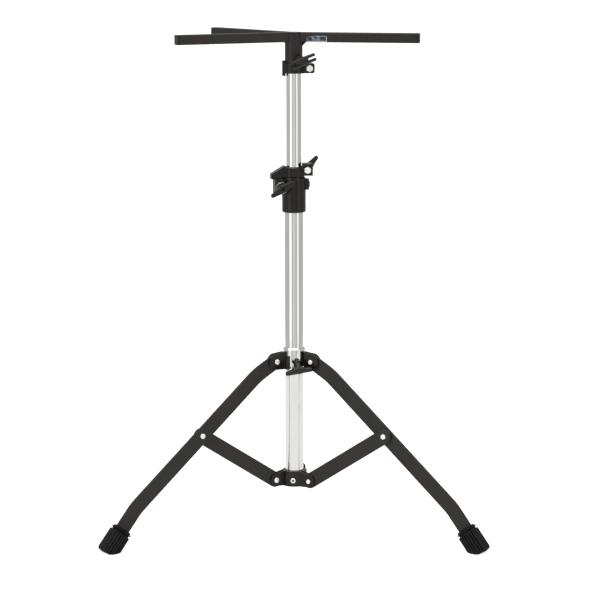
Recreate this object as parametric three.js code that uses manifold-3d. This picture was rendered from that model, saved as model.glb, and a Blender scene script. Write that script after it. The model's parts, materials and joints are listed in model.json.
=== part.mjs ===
// Folding tripod stand for a practice pad or drum: a two-stage chrome mast with three square
// support arms on top and three single-braced legs below.
// Units are millimetres, +Z is up and the floor is z = 0. The origin is the middle of the
// stand's footprint, so the mast stands MAST_BACK in front of it.
import * as THREE from 'three';
import { mergeVertices } from 'three/addons/utils/BufferGeometryUtils.js';
import Module from 'manifold-3d';

const wasm = await Module();
wasm.setup();

// ---- driving dimensions -----------------------------------------------------------------
const GAP = 0.3; // assembly clearance kept between touching pieces
const ROUND = 24; // sides of the large round pieces
const SMALL_ROUND = 12; // sides of pins, heads and small bosses
const MAST_BACK = 85; // mast axis in front of the footprint's middle
const OVER = 20; // how far a cutting solid runs past what it cuts
const STOCK = 1; // material left inside a bore until the bore is cut

const LOWER_TUBE = { r: 15, bore: 13.6, bottom: 78, top: 575 };
const UPPER_TUBE = { r: 12.2, bore: 10.9, bottom: 420, top: 811 };

const BAR = { width: 25, thick: 4.5 }; // leg flat bar
const BRACE_WIDTH = 24.5;
const LEG_OFFSET = -1.5; // middle of the leg bars, off the radial plane
const BRACE_OFFSET = -6.5; // middle of the brace bars, beside the legs
const LEG_AZIMUTHS = { left: 210, right: 330, rear: 90 };
const TOP_PIVOT = { r: 34.8, z: 283.1 }; // leg to collar
const MID_PIVOT = { r: 171.8, z: 172.6 }; // brace to leg
const LOW_PIVOT = { r: 33.5, z: 83.9 }; // brace to lower hub
const LEG_KNEES = [{ r: 69.4, z: 263.1, bend: 120 }, { r: 292.9, z: 66.8, bend: 100 }];
const FOOT_TOP = { r: 319.4, z: 32.9 }; // foot flange centre on the leg's line
const FOOT = { r: 18, neck: 15.4, flange: 17.9, flangeThick: 1.6, rim: 3.5, shoulder: 5, length: 43.5,
  chamfer: 5 };
const FOOT_POCKET = 28; // leg length held inside the foot

const PIN = { r: 3, hole: 3.4, head: 4.2, headHigh: 2.5, rim: 1.25, crown: 3, end: 3.6, endHigh: 1.6 };

const HUB = { r: 20.6, bore: 15.4, bottom: 73.5, top: 99, earThick: 2.8, earRound: 10.4 };
const HUB_SCREW = { azimuth: 264, r: 4.2, rim: 1.3, crown: 3.15, high: 2.2, up: 84 };

const COLLAR = { r: 18.2, bore: 15.45, bottom: 273.5, top: 304 };
const BRACKET = { web: 3, plate: 3, round: 13.5, wrapFrom: 10, wrapTo: 36, wrapDrop: 7 };
const MITRE = { start: -1, reach: 22 }; // the bracket's inner corner, cut back on one side
const COLLAR_WING = { azimuth: 283, tilt: -40, start: 24.75, up: 279, roll: 102, hub: 6.2 };
const COLLAR_BOSS = { r: 8.4, endR: 5.2, from: 14, taper: 24.2, top: 285.5 };

const RECEIVER = { r: 19.4, bore: 15.4, bottom: 528, top: 585, slot: 2.4, slotDeep: 36 };
const RECEIVER_LUG = { azimuth: 188, reach: 33, half: 15, bottom: 558.5, top: 582.5 };
const RECEIVER_BOLT = { along: 22.3, up: 569 };
const WASHER = { r: 9.6, thick: 1.4 };
const RECEIVER_RIB = { reach: 24.6, half: 6, bottom: 565, top: 583, bossR: 5, bossReach: 26 };
const BUSHING = { bore: 12.6, r: 13.3, flangeR: 15.1, bottom: 540, flangeBottom: 575.4, top: 584 };

const LOCK = { r: 17.6, bore: 12.6, bottom: 585.5, top: 602.5, slot: 2.4 };
const LOCK_KEY = { reach: 38.5, from: 14, half: 10, bottom: 583.1, low: 591, high: 604, crest: 17 };
const LOCK_LUG = { from: 13, reach: 31, half: 12, bottom: 588.5, top: 608 };
const LOCK_BOLT = { along: 22.6, up: 597.8 };
const LOCK_RIB = { azimuth: 270, from: 13, reach: 20, half: 5.3, bottom: 586.7, top: 601.3 };

const ARM = { side: 16, wall: 1.5, length: 206.5, top: 821 };
const ARM_AZIMUTHS = { right: -12, rear: 130, left: 205.5 };
const ARM_CAP = { thick: 2.6, stem: 12 };
const SLEEVE = { r: 14.4, bore: 12.75, bottom: 756, top: 818.4 };
const SLEEVE_CAP = { stemR: 12.3, stem: 5 };

const CLAMP = { r: 17.9, bore: 14.8, bottom: 754.5, top: 771, slot: 2.4 };
const CLAMP_LUG = { from: 14, along: 26, reach: 34, tall: 7.9, corner: 3.5, half: 8.5, up: 762.6 };
const CLAMP_BLOCK = { from: 12.4, reach: 18.8, half: 7, bottom: 750.2, top: 774.8 };
const CLAMP_BOSS = { azimuth: 297, r: 6.5, reach: 21, up: 775.5 };
const TOP_WING = { start: 21.4, roll: 109 };
const RECEIVER_WING_ROLL = 122;
const LOCK_WING = { roll: 40, span: 25 };

const HEX_BOLT = { head: 5.77, high: 4, shank: 3, hole: 3.4, nut: 5.77, nutHigh: 5 };
const WING = { hub: 8.8, neck: 5.8, skirt: 1.5, cone: 10, length: 16, socket: 11, thread: 9.6 };
const BLADE = { from: 2, span: 22.8, rootHalf: 6.8, tipHalf: 2.9, root: 7, tip: 12.2, crest: 18.2 };
const FORK = { half: 6.8, slot: 4, from: 8 };

// ---- materials --------------------------------------------------------------------------
const finishes = {
  chrome: { color: 0xd8dade, metalness: 1, roughness: 0.08 },
  paint: { color: 0x2b2928, metalness: 0.2, roughness: 0.42 },
  casting: { color: 0x242323, metalness: 0.2, roughness: 0.36 },
  plastic: { color: 0x1e1d1d, metalness: 0, roughness: 0.5 },
  rubber: { color: 0x262525, metalness: 0, roughness: 0.85 },
  zinc: { color: 0xd9d6cb, metalness: 0.9, roughness: 0.3 },
  nylon: { color: 0x3a3938, metalness: 0, roughness: 0.6 },
};
const materials = Object.fromEntries(
  Object.entries(finishes).map(([name, look]) => [name, new THREE.MeshStandardMaterial({ name, ...look })]),
);

// ---- solid helpers ----------------------------------------------------------------------
const deg = THREE.MathUtils.degToRad;

function toManifold(geometry) {
  const bare = geometry.clone();
  bare.deleteAttribute('normal');
  bare.deleteAttribute('uv');
  const merged = mergeVertices(bare, 1e-4);
  return new wasm.Manifold(
    new wasm.Mesh({
      numProp: 3,
      vertProperties: new Float32Array(merged.attributes.position.array),
      triVerts: new Uint32Array(merged.index.array),
    }),
  );
}

function toGeometry(solid) {
  const mesh = solid.getMesh();
  const geometry = new THREE.BufferGeometry();
  geometry.setAttribute('position', new THREE.BufferAttribute(new Float32Array(mesh.vertProperties), 3));
  geometry.setIndex(new THREE.BufferAttribute(new Uint32Array(mesh.triVerts), 1));
  geometry.computeVertexNormals();
  return geometry;
}

// Joins the added geometries, then cuts the removed ones away.
function combine(added, removed = []) {
  let solid = added.map(toManifold).reduce((a, b) => a.add(b));
  for (const cut of removed) solid = solid.subtract(toManifold(cut));
  return toGeometry(solid);
}

// Solid of revolution about Z from (radius, height) pairs that close on themselves.
function turned(profile, sides = ROUND) {
  const points = profile.map(([r, z]) => new THREE.Vector2(r, z));
  if (profile[0][0] > 0) points.push(points[0].clone());
  return new THREE.LatheGeometry(points, sides).rotateX(Math.PI / 2);
}

const disc = (r, bottom, top, sides = ROUND) =>
  turned([[0, bottom], [r, bottom], [r, top], [0, top]], sides);

const ring = (bore, r, bottom, top, sides = ROUND) =>
  turned([[bore, bottom], [r, bottom], [r, top], [bore, top]], sides);

const block = (x0, x1, y0, y1, z0, z1) =>
  new THREE.BoxGeometry(x1 - x0, y1 - y0, z1 - z0)
    .translate((x0 + x1) / 2, (y0 + y1) / 2, (z0 + z1) / 2);

// The part that two geometries share.
const common = (a, b) => toGeometry(toManifold(a).intersect(toManifold(b)));

// A plate standing in the radial XZ plane: the shape's y becomes height, its middle is at y.
function plate(shape, thick, y) {
  return new THREE.ExtrudeGeometry(shape, { depth: thick, bevelEnabled: false, curveSegments: 6 })
    .rotateX(Math.PI / 2)
    .translate(0, y + thick / 2, 0);
}

// A pin or bolt lies along Y: the turned profile's height becomes y, about the line (x, z).
const across = (geometry, x, z) => geometry.rotateX(-Math.PI / 2).translate(x, 0, z);

// A turned piece pointing outward along +X at height z.
const outward = (geometry, z) => geometry.rotateY(Math.PI / 2).translate(0, 0, z);

// Points of an arc about a centre in the (r, z) plane.
function arc(centre, r, from, to, steps = 8) {
  return Array.from({ length: steps + 1 }, (_, k) => {
    const angle = from + ((to - from) * k) / steps;
    return new THREE.Vector2(centre.r + r * Math.cos(angle), centre.z + r * Math.sin(angle));
  });
}

// A closed outline from corner pairs and runs of points.
const outline = (...runs) =>
  new THREE.Shape(runs.flatMap((run) => (typeof run[0] === 'number' ? [new THREE.Vector2(...run)] : run)));

function addHole(shape, centre, r) {
  const lastSide = 2 * Math.PI * (1 - 1 / SMALL_ROUND);
  shape.holes.push(new THREE.Path(arc(centre, r, 0, lastSide, SMALL_ROUND - 1)));
}

// ---- scene graph helpers ------------------------------------------------------------------
const stand = new THREE.Group();
const mast = new THREE.Group();
mast.position.y = -MAST_BACK;
stand.add(mast);

function station(azimuth) {
  const group = new THREE.Group();
  group.rotation.z = deg(azimuth);
  mast.add(group);
  return group;
}

function piece(parent, name, geometry, finish) {
  const mesh = new THREE.Mesh(geometry, materials[finish]);
  mesh.name = name;
  parent.add(mesh);
}

// ---- tubes --------------------------------------------------------------------------------
function buildTubes() {
  const { r, bore, bottom, top } = LOWER_TUBE;
  piece(mast, 'lower_tube', ring(bore, r, bottom, top), 'chrome');
  const plug = turned([
    [0, HUB.bottom + 1],
    [r, HUB.bottom + 1],
    [r, bottom - GAP],
    [bore - 2 * GAP, bottom - GAP],
    [bore - 2 * GAP, bottom + 10],
    [0, bottom + 10],
  ]);
  piece(mast, 'lower_tube_plug', plug, 'plastic');

  piece(mast, 'upper_tube', ring(UPPER_TUBE.bore, UPPER_TUBE.r, UPPER_TUBE.bottom, UPPER_TUBE.top), 'chrome');
  const guideR = bore - 2 * GAP;
  const stemR = UPPER_TUBE.bore - 2 * GAP;
  const end = UPPER_TUBE.bottom;
  const guide = turned([
    [stemR - 2, end - 8],
    [guideR, end - 8],
    [guideR, end - GAP],
    [stemR, end - GAP],
    [stemR, end + 12],
    [stemR - 2, end + 12],
  ]);
  piece(mast, 'upper_tube_guide', guide, 'nylon');
}

// ---- pivot pins ---------------------------------------------------------------------------
// A headed pin along Y with its head on the +Y side of a stack from y0 to y1.
function pivotPin(y0, y1) {
  const { r, head, headHigh, rim, crown, end, endHigh } = PIN;
  return turned([
    [0, y0 - GAP - endHigh],
    [end, y0 - GAP - endHigh],
    [end, y0 - GAP],
    [r, y0 - GAP],
    [r, y1 + GAP],
    [head, y1 + GAP],
    [head, y1 + GAP + rim],
    [crown, y1 + GAP + headHigh],
    [0, y1 + GAP + headHigh],
  ], SMALL_ROUND);
}

// ---- lower hub ----------------------------------------------------------------------------
function buildLowerHub() {
  const { r, bore, bottom, top, earThick, earRound } = HUB;
  const half = BAR.thick / 2 + GAP;
  const ears = [];
  for (const azimuth of Object.values(LEG_AZIMUTHS)) {
    for (const side of [-1, 1]) {
      const end = arc(LOW_PIVOT, earRound, -Math.PI / 2, Math.PI * 0.42);
      const ear = outline([bore + STOCK, bottom], end, [bore + STOCK, top]);
      addHole(ear, LOW_PIVOT, PIN.hole);
      const y = BRACE_OFFSET + side * (half + earThick / 2);
      ears.push(plate(ear, earThick, y).rotateZ(deg(azimuth)));
    }
  }
  const drill = outward(disc(PIN.hole, bore - STOCK, r + OVER, SMALL_ROUND), HUB_SCREW.up);
  const bores = [disc(bore, bottom - OVER, top + OVER), drill.rotateZ(deg(HUB_SCREW.azimuth))];
  piece(mast, 'lower_hub', combine([disc(r, bottom, top), ...ears], bores), 'casting');

  const seat = r + GAP;
  const screw = turned([
    [0, bore + GAP],
    [PIN.r, bore + GAP],
    [PIN.r, seat],
    [HUB_SCREW.r, seat],
    [HUB_SCREW.r, seat + HUB_SCREW.rim],
    [HUB_SCREW.crown, seat + HUB_SCREW.high],
    [0, seat + HUB_SCREW.high],
  ], SMALL_ROUND);
  piece(station(HUB_SCREW.azimuth), 'hub_screw', outward(screw, HUB_SCREW.up), 'zinc');
}

// ---- legs and braces ------------------------------------------------------------------------
// Points of a bar's side, offset from a centreline whose knees are rounded by arcs.
function offsetSide(line, offset) {
  const side = [];
  for (let i = 0; i < line.length; i += 1) {
    const here = new THREE.Vector2(line[i].r, line[i].z);
    const before = i > 0 && here.clone().sub(new THREE.Vector2(line[i - 1].r, line[i - 1].z)).normalize();
    const after =
      i < line.length - 1 && new THREE.Vector2(line[i + 1].r, line[i + 1].z).sub(here).normalize();
    if (!before || !after) {
      const along = before || after;
      side.push(new THREE.Vector2(-along.y, along.x).multiplyScalar(offset).add(here));
      continue;
    }
    const turn = Math.atan2(before.cross(after), before.dot(after));
    const sign = Math.sign(turn);
    const { bend } = line[i];
    const start = here.clone().addScaledVector(before, -bend * Math.tan(Math.abs(turn) / 2));
    const centre = start.clone().add(new THREE.Vector2(-before.y, before.x).multiplyScalar(sign * bend));
    const steps = 4;
    for (let k = 0; k <= steps; k += 1) {
      const arm = new THREE.Vector2(before.y, -before.x).multiplyScalar(sign * (bend - sign * offset));
      side.push(arm.rotateAround(new THREE.Vector2(), (turn * k) / steps).add(centre));
    }
  }
  return side;
}

function legShape() {
  const tail = new THREE.Vector2(FOOT_TOP.r - LEG_KNEES[1].r, FOOT_TOP.z - LEG_KNEES[1].z).normalize();
  const end = {
    r: FOOT_TOP.r + tail.x * (FOOT_POCKET - 1),
    z: FOOT_TOP.z + tail.y * (FOOT_POCKET - 1),
  };
  const line = [TOP_PIVOT, ...LEG_KNEES, end];
  const half = BAR.width / 2;
  const upper = offsetSide(line, half);
  const lower = offsetSide(line, -half).reverse();
  const start = Math.atan2(lower.at(-1).y - TOP_PIVOT.z, lower.at(-1).x - TOP_PIVOT.r);
  const top = arc(TOP_PIVOT, half, start, start - Math.PI);
  const shape = outline(upper.slice(1), lower.slice(0, -1), top);
  addHole(shape, TOP_PIVOT, PIN.hole);
  addHole(shape, MID_PIVOT, PIN.hole);
  return shape;
}

function braceShape() {
  const along = Math.atan2(MID_PIVOT.z - LOW_PIVOT.z, MID_PIVOT.r - LOW_PIVOT.r);
  const quarter = Math.PI / 2;
  const shape = outline(
    arc(LOW_PIVOT, BRACE_WIDTH / 2, along + quarter, along + 3 * quarter),
    arc(MID_PIVOT, BRACE_WIDTH / 2, along - quarter, along + quarter),
  );
  addHole(shape, LOW_PIVOT, PIN.hole);
  addHole(shape, MID_PIVOT, PIN.hole);
  return shape;
}

// Rubber tip: a round plug with a flange, pocketed for the leg's end, with a flat level sole.
function footGeometry() {
  const { r, neck, flange, flangeThick, rim, shoulder, length, chamfer } = FOOT;
  const tail = Math.atan2(FOOT_TOP.z - LEG_KNEES[1].z, FOOT_TOP.r - LEG_KNEES[1].r);
  const place = (geometry) =>
    geometry
      .rotateY(Math.PI / 2)
      .rotateY(-tail)
      .translate(FOOT_TOP.r, LEG_OFFSET, FOOT_TOP.z);
  const body = turned([
    [0, -rim],
    [neck, -rim],
    [neck, -flangeThick / 2],
    [flange, -flangeThick / 2],
    [flange, flangeThick / 2],
    [neck, flangeThick / 2],
    [neck, shoulder - 1],
    [r, shoulder],
    [r, length - chamfer],
    [r - chamfer, length],
    [0, length],
  ]);
  const long = BAR.width / 2 + GAP;
  const short = BAR.thick / 2 + GAP;
  const pocket = block(-long, long, -short, short, -rim - OVER, FOOT_POCKET);
  const floor = block(0, 2 * FOOT_TOP.r, -length, length, -length, 0);
  return combine([place(body)], [place(pocket), floor]);
}

function buildLegs() {
  const legFaces = [LEG_OFFSET - BAR.thick / 2, LEG_OFFSET + BAR.thick / 2];
  const braceFaces = [BRACE_OFFSET - BAR.thick / 2, BRACE_OFFSET + BAR.thick / 2];
  const earStack = BAR.thick / 2 + GAP + HUB.earThick;
  const plateStack = BAR.thick / 2 + GAP + BRACKET.plate;
  for (const [side, azimuth] of Object.entries(LEG_AZIMUTHS)) {
    const group = station(azimuth);
    piece(group, `leg_${side}`, plate(legShape(), BAR.thick, LEG_OFFSET), 'paint');
    piece(group, `rubber_foot_${side}`, footGeometry(), 'rubber');
    piece(group, `brace_${side}`, plate(braceShape(), BAR.thick, BRACE_OFFSET), 'paint');

    const topPin = pivotPin(LEG_OFFSET - plateStack, LEG_OFFSET + plateStack);
    piece(group, `collar_pivot_pin_${side}`, across(topPin, TOP_PIVOT.r, TOP_PIVOT.z), 'zinc');
    const lowPin = pivotPin(BRACE_OFFSET - earStack, BRACE_OFFSET + earStack);
    piece(group, `lower_pivot_pin_${side}`, across(lowPin, LOW_PIVOT.r, LOW_PIVOT.z), 'zinc');

    const { r, head, headHigh, rim, crown, end } = PIN;
    const bolt = turned([
      [0, legFaces[0]],
      [r, legFaces[0]],
      [r, legFaces[1] + GAP],
      [head, legFaces[1] + GAP],
      [head, legFaces[1] + GAP + rim],
      [crown, legFaces[1] + GAP + headHigh],
      [0, legFaces[1] + GAP + headHigh],
    ], SMALL_ROUND);
    piece(group, `mid_pivot_bolt_${side}`, across(bolt, MID_PIVOT.r, MID_PIVOT.z), 'zinc');
    const nut = turned([
      [0, braceFaces[0] - GAP - headHigh],
      [end, braceFaces[0] - GAP - headHigh],
      [head, braceFaces[0] - GAP - rim],
      [head, braceFaces[0] - GAP],
      [r, braceFaces[0] - GAP],
      [r, braceFaces[1]],
      [0, braceFaces[1]],
    ], SMALL_ROUND);
    piece(group, `mid_pivot_nut_${side}`, across(nut, MID_PIVOT.r, MID_PIVOT.z), 'zinc');
  }
}

// ---- leg collar -----------------------------------------------------------------------------
function bracketGeometry() {
  const { web, plate: thick, round, wrapFrom, wrapTo, wrapDrop } = BRACKET;
  const inner = COLLAR.r + GAP;
  const half = BAR.thick / 2 + GAP;
  const low = TOP_PIVOT.z - round;
  const high = TOP_PIVOT.z + round;
  const sides = [-1, 1].map((side) => {
    const end = arc(TOP_PIVOT, round, -Math.PI / 2, Math.PI / 2);
    const shape = outline([inner, low], end, [inner, high + 2]);
    addHole(shape, TOP_PIVOT, PIN.hole);
    return plate(shape, thick, LEG_OFFSET + side * (half + thick / 2));
  });
  const outer = inner + web;
  const reach = half + thick;
  const back = block(inner, outer, LEG_OFFSET - reach, LEG_OFFSET + reach, low, high + 2);
  const axis = { r: 0, z: 0 };
  const wrap = outline(
    arc(axis, outer, deg(wrapFrom), deg(wrapTo), 4),
    arc(axis, inner, deg(wrapTo), deg(wrapFrom), 4),
  );
  const depth = high + 2 - wrapDrop - low;
  const saddle = new THREE.ExtrudeGeometry(wrap, { depth, bevelEnabled: false }).translate(0, 0, low);
  const face = LEG_OFFSET - reach;
  const corner = outline(
    [web, MITRE.start],
    [inner, MITRE.start],
    [MITRE.reach, face],
    [MITRE.reach, face - OVER],
    [web, face - OVER],
  );
  const mitred = new THREE.ExtrudeGeometry(corner, { depth: high + 2 * OVER - low, bevelEnabled: false })
    .translate(0, 0, low - OVER);
  return combine([...sides, back, saddle], [disc(inner, low - OVER, high + OVER), mitred]);
}

// Wing pointing along +Z from z = 0: a conical hub with two flared blades, tapered or forked.
function wingHead({ hub = WING.hub, forked = false, span = BLADE.span } = {}) {
  const { neck, skirt, cone, length } = WING;
  const { from, rootHalf, tipHalf, root, tip, crest } = BLADE;
  const core = turned([[0, 0], [hub, 0], [hub, skirt], [neck, cone], [neck, length], [0, length]], 16);
  const profile = outline(
    [from, root],
    [neck, root],
    [span - 2, tip],
    [span, (tip + crest) / 2],
    [span - 2, crest],
    [span / 2, crest - 1],
    [from, length],
  );
  const [inner, outer] = forked ? [FORK.half, FORK.half] : [rootHalf, tipHalf];
  const plan = outline([from, -inner], [span, -outer], [span, outer], [from, inner]);
  const tapered = new THREE.ExtrudeGeometry(plan, { depth: crest, bevelEnabled: false });
  let blade = common(plate(profile, 2 * rootHalf, 0), tapered);
  if (forked) {
    blade = combine([blade], [block(FORK.from, span + OVER, -FORK.slot / 2, FORK.slot / 2, 0, crest + OVER)]);
  }
  return [core, blade, blade.clone().rotateZ(Math.PI)];
}

// Turns a piece that points along +Z to lie outward along +X, rolled about its own axis.
const aimed = (geometry, roll) => geometry.rotateZ(deg(roll)).rotateY(Math.PI / 2);

function wingScrew(studLength, roll, shape) {
  const stud = disc(PIN.r, -studLength, 1, SMALL_ROUND);
  return aimed(combine([...wingHead(shape), stud]), roll);
}

function wingNut(roll, shape) {
  const socket = disc(PIN.hole, -OVER, WING.socket, SMALL_ROUND);
  return aimed(combine(wingHead(shape), [socket]), roll);
}

function buildCollar() {
  const { r, bore, bottom, top } = COLLAR;
  const { azimuth, tilt, start, up, roll, hub } = COLLAR_WING;
  const reach = start / Math.cos(deg(tilt)); // from the mast axis to the wing's seat, along the stud
  const leaned = (geometry) =>
    geometry.translate(-reach, 0, 0).rotateY(deg(-tilt)).translate(start, 0, up).rotateZ(deg(azimuth));
  const drill = () => leaned(outward(disc(PIN.hole, 0, reach + OVER, SMALL_ROUND), 0));
  const body = turned([
    [bore - STOCK, bottom],
    [r, bottom],
    [r, top - 2],
    [r - 1.2, top],
    [bore - STOCK, top],
  ]);
  const cuts = [disc(bore, bottom - OVER, top + OVER), drill()];
  piece(mast, 'leg_collar', combine([body], cuts), 'chrome');
  const cone = turned([
    [0, COLLAR_BOSS.from],
    [COLLAR_BOSS.r, COLLAR_BOSS.from],
    [COLLAR_BOSS.r, COLLAR_BOSS.taper],
    [COLLAR_BOSS.endR, reach - GAP],
    [0, reach - GAP],
  ], 16);
  const seat = disc(r + GAP, 0, top + OVER);
  const flat = block(0, reach, -OVER, OVER, COLLAR_BOSS.top, top + OVER).rotateZ(deg(azimuth));
  const boss = combine([leaned(outward(cone, 0))], [seat, flat, drill()]);
  piece(mast, 'collar_boss', boss, 'casting');
  for (const [side, leg] of Object.entries(LEG_AZIMUTHS)) {
    piece(station(leg), `leg_bracket_${side}`, bracketGeometry(), 'casting');
  }
  const stud = (start - LOWER_TUBE.r - GAP) / Math.cos(deg(tilt)) - PIN.r * Math.tan(deg(-tilt));
  const screw = wingScrew(stud, roll, { hub }).rotateY(deg(-tilt)).translate(start, 0, up);
  piece(station(azimuth), 'collar_wing_screw', screw, 'plastic');
}

// ---- receiver -------------------------------------------------------------------------------
// Hexagon bolt along Y at (along, up): head on the -Y side of a stack from -half to +half.
function hexBolt(half, tail, along, up) {
  const { head, high, shank } = HEX_BOLT;
  const hex = disc(head, -half - GAP - high, -half - GAP, 6);
  const rod = disc(shank, -half - GAP - high / 2, half + tail, SMALL_ROUND);
  return across(combine([hex, rod]), along, up);
}

function buildReceiver() {
  const { r, bore, bottom, top, slot, slotDeep } = RECEIVER;
  const lug = RECEIVER_LUG;
  const rib = RECEIVER_RIB;
  const { along, up } = RECEIVER_BOLT;
  const turn = deg(lug.azimuth);
  const shell = turned([
    [bore - STOCK, bottom],
    [r - 1.2, bottom],
    [r, bottom + 1.2],
    [r, top - 1],
    [r - 1, top],
    [bore - STOCK, top],
  ]);
  const lugs = block(bore, lug.reach, -lug.half, lug.half, lug.bottom, lug.top).rotateZ(turn);
  const ribs = [
    block(bore, rib.reach, -rib.half, rib.half, rib.bottom, rib.top),
    outward(disc(rib.bossR, bore, rib.bossReach, SMALL_ROUND), (rib.bottom + rib.top) / 2),
  ];
  const cuts = [
    disc(bore, bottom - OVER, top + OVER),
    block(0, lug.reach + OVER, -slot / 2, slot / 2, top - slotDeep, top + OVER).rotateZ(turn),
    across(disc(HEX_BOLT.hole, -OVER, OVER, SMALL_ROUND), along, up).rotateZ(turn),
  ];
  piece(mast, 'receiver_casting', combine([shell, lugs, ...ribs], cuts), 'casting');

  const sleeve = turned([
    [BUSHING.bore, BUSHING.bottom],
    [BUSHING.r, BUSHING.bottom],
    [BUSHING.r, BUSHING.flangeBottom],
    [BUSHING.flangeR, BUSHING.flangeBottom],
    [BUSHING.flangeR, BUSHING.top],
    [BUSHING.bore, BUSHING.top],
  ]);
  piece(mast, 'receiver_bushing', sleeve, 'nylon');

  const group = station(lug.azimuth);
  const face = lug.half + GAP;
  const bolt = hexBolt(lug.half, GAP + WASHER.thick + WING.thread, along, up);
  piece(group, 'receiver_bolt', bolt, 'zinc');
  const washer = ring(HEX_BOLT.hole, WASHER.r, face, face + WASHER.thick, 16);
  piece(group, 'receiver_washer', across(washer, along, up), 'chrome');
  const seat = face + WASHER.thick + GAP;
  const nut = wingNut(RECEIVER_WING_ROLL).rotateZ(Math.PI / 2).translate(along, seat, up);
  piece(group, 'receiver_wing_nut', nut, 'plastic');
}

// ---- memory lock ----------------------------------------------------------------------------
function buildMemoryLock() {
  const { r, bore, bottom, top, slot } = LOCK;
  const key = LOCK_KEY;
  const lug = LOCK_LUG;
  const keyShape = outline(
    [key.from, bottom],
    [RECEIVER.r + 0.8, bottom],
    [RECEIVER.r + 0.8, key.bottom],
    [key.reach, key.bottom],
    [key.reach, key.low],
    [key.crest, key.high],
    [key.from, key.high],
  );
  const keyLug = plate(keyShape, 2 * key.half, 0).rotateZ(deg(RECEIVER_LUG.azimuth));
  const jaws = block(lug.from, lug.reach, -lug.half, lug.half, lug.bottom, lug.top);
  const cuts = [
    disc(bore, bottom - OVER, top + OVER),
    block(0, lug.reach + OVER, -slot / 2, slot / 2, bottom - OVER, lug.top + OVER),
    across(disc(HEX_BOLT.hole, -OVER, OVER, SMALL_ROUND), LOCK_BOLT.along, LOCK_BOLT.up),
  ];
  const { from, reach, half, azimuth } = LOCK_RIB;
  const rib = block(from, reach, -half, half, LOCK_RIB.bottom, LOCK_RIB.top).rotateZ(deg(azimuth));
  const body = combine([ring(bore - STOCK, r, bottom, top), keyLug, jaws, rib], cuts);
  piece(mast, 'memory_lock_ring', body, 'casting');

  const { along, up } = LOCK_BOLT;
  piece(mast, 'memory_lock_bolt', hexBolt(lug.half, GAP + WING.thread, along, up), 'zinc');
  const { roll, span } = LOCK_WING;
  const nut = wingNut(roll, { span }).rotateZ(Math.PI / 2).translate(along, lug.half + GAP, up);
  piece(mast, 'memory_lock_wing_nut', nut, 'plastic');
}

// ---- top frame ------------------------------------------------------------------------------
function buildArms() {
  const { side, wall, length, top } = ARM;
  const half = side / 2;
  const inner = half - wall;
  const bottom = top - side;
  const end = length - ARM_CAP.thick - GAP;
  for (const [name, azimuth] of Object.entries(ARM_AZIMUTHS)) {
    const group = station(azimuth);
    const tube = combine(
      [block(0, end, -half, half, bottom, top)],
      [
        block(0, end + OVER, -inner, inner, bottom + wall, top - wall),
        disc(SLEEVE.r + GAP, bottom - OVER, top + OVER),
      ],
    );
    piece(group, `arm_${name}`, tube, 'paint');
    const fit = inner - GAP;
    const middle = top - half;
    const cap = combine([
      block(length - ARM_CAP.thick, length, -half, half, bottom, top),
      block(end - ARM_CAP.stem, length - 1, -fit, fit, middle - fit, middle + fit),
    ]);
    piece(group, `arm_cap_${name}`, cap, 'plastic');
  }
}

function buildTopHub() {
  const { r, bore, bottom, top } = SLEEVE;
  const boss = CLAMP_BOSS;
  const drilled = outward(disc(PIN.hole, 0, r + OVER, SMALL_ROUND), boss.up).rotateZ(deg(boss.azimuth));
  piece(mast, 'hub_sleeve', combine([ring(bore, r, bottom, top)], [drilled]), 'paint');
  const { stemR, stem } = SLEEVE_CAP;
  const cap = turned([
    [0, top - stem],
    [stemR, top - stem],
    [stemR, top + GAP],
    [r, top + GAP],
    [r, ARM.top],
    [0, ARM.top],
  ]);
  piece(mast, 'sleeve_cap', cap, 'plastic');
}

function buildTopClamp() {
  const { r, bore, bottom, top, slot } = CLAMP;
  const lug = CLAMP_LUG;
  const boss = CLAMP_BOSS;
  const side = CLAMP_BLOCK;
  const corner = (side) => ({ r: lug.reach - lug.corner, z: lug.up + side * (lug.tall - lug.corner) });
  const ear = outline(
    [lug.from, lug.up - lug.tall],
    arc(corner(-1), lug.corner, -Math.PI / 2, 0, 3),
    arc(corner(1), lug.corner, 0, Math.PI / 2, 3),
    [lug.from, lug.up + lug.tall],
  );
  const bossBody = outward(disc(boss.r, bore - STOCK, boss.reach, 16), boss.up).rotateZ(deg(boss.azimuth));
  const cuts = [
    disc(bore, bottom - OVER, boss.up + OVER),
    block(0, lug.reach + OVER, -slot / 2, slot / 2, bottom - OVER, top + OVER),
    across(disc(HEX_BOLT.hole, -OVER, OVER, SMALL_ROUND), lug.along, lug.up),
    outward(disc(PIN.hole, 0, boss.reach + OVER, SMALL_ROUND), boss.up).rotateZ(deg(boss.azimuth)),
  ];
  const solids = [
    ring(bore - STOCK, r, bottom, top),
    plate(ear, 2 * lug.half, 0),
    block(-side.reach, -side.from, -side.half, side.half, side.bottom, side.top),
    bossBody,
  ];
  piece(mast, 'top_clamp', combine(solids, cuts), 'casting');

  const bolt = hexBolt(lug.half, GAP + HEX_BOLT.nutHigh + 1, lug.along, lug.up);
  piece(mast, 'top_clamp_bolt', bolt, 'zinc');
  const nut = combine(
    [disc(HEX_BOLT.nut, lug.half + GAP, lug.half + GAP + HEX_BOLT.nutHigh, 6)],
    [disc(HEX_BOLT.hole, 0, lug.half + OVER, SMALL_ROUND)],
  );
  piece(mast, 'top_clamp_nut', across(nut, lug.along, lug.up), 'zinc');

  const stud = TOP_WING.start - UPPER_TUBE.r - GAP;
  const screw = wingScrew(stud, TOP_WING.roll, { forked: true }).translate(TOP_WING.start, 0, boss.up);
  piece(station(boss.azimuth), 'top_wing_screw', screw, 'plastic');
}

buildTubes();
buildLowerHub();
buildLegs();
buildCollar();
buildReceiver();
buildMemoryLock();
buildArms();
buildTopHub();
buildTopClamp();

export default stand;
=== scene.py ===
"""Folding tripod stand: the looks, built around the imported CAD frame."""

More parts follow.
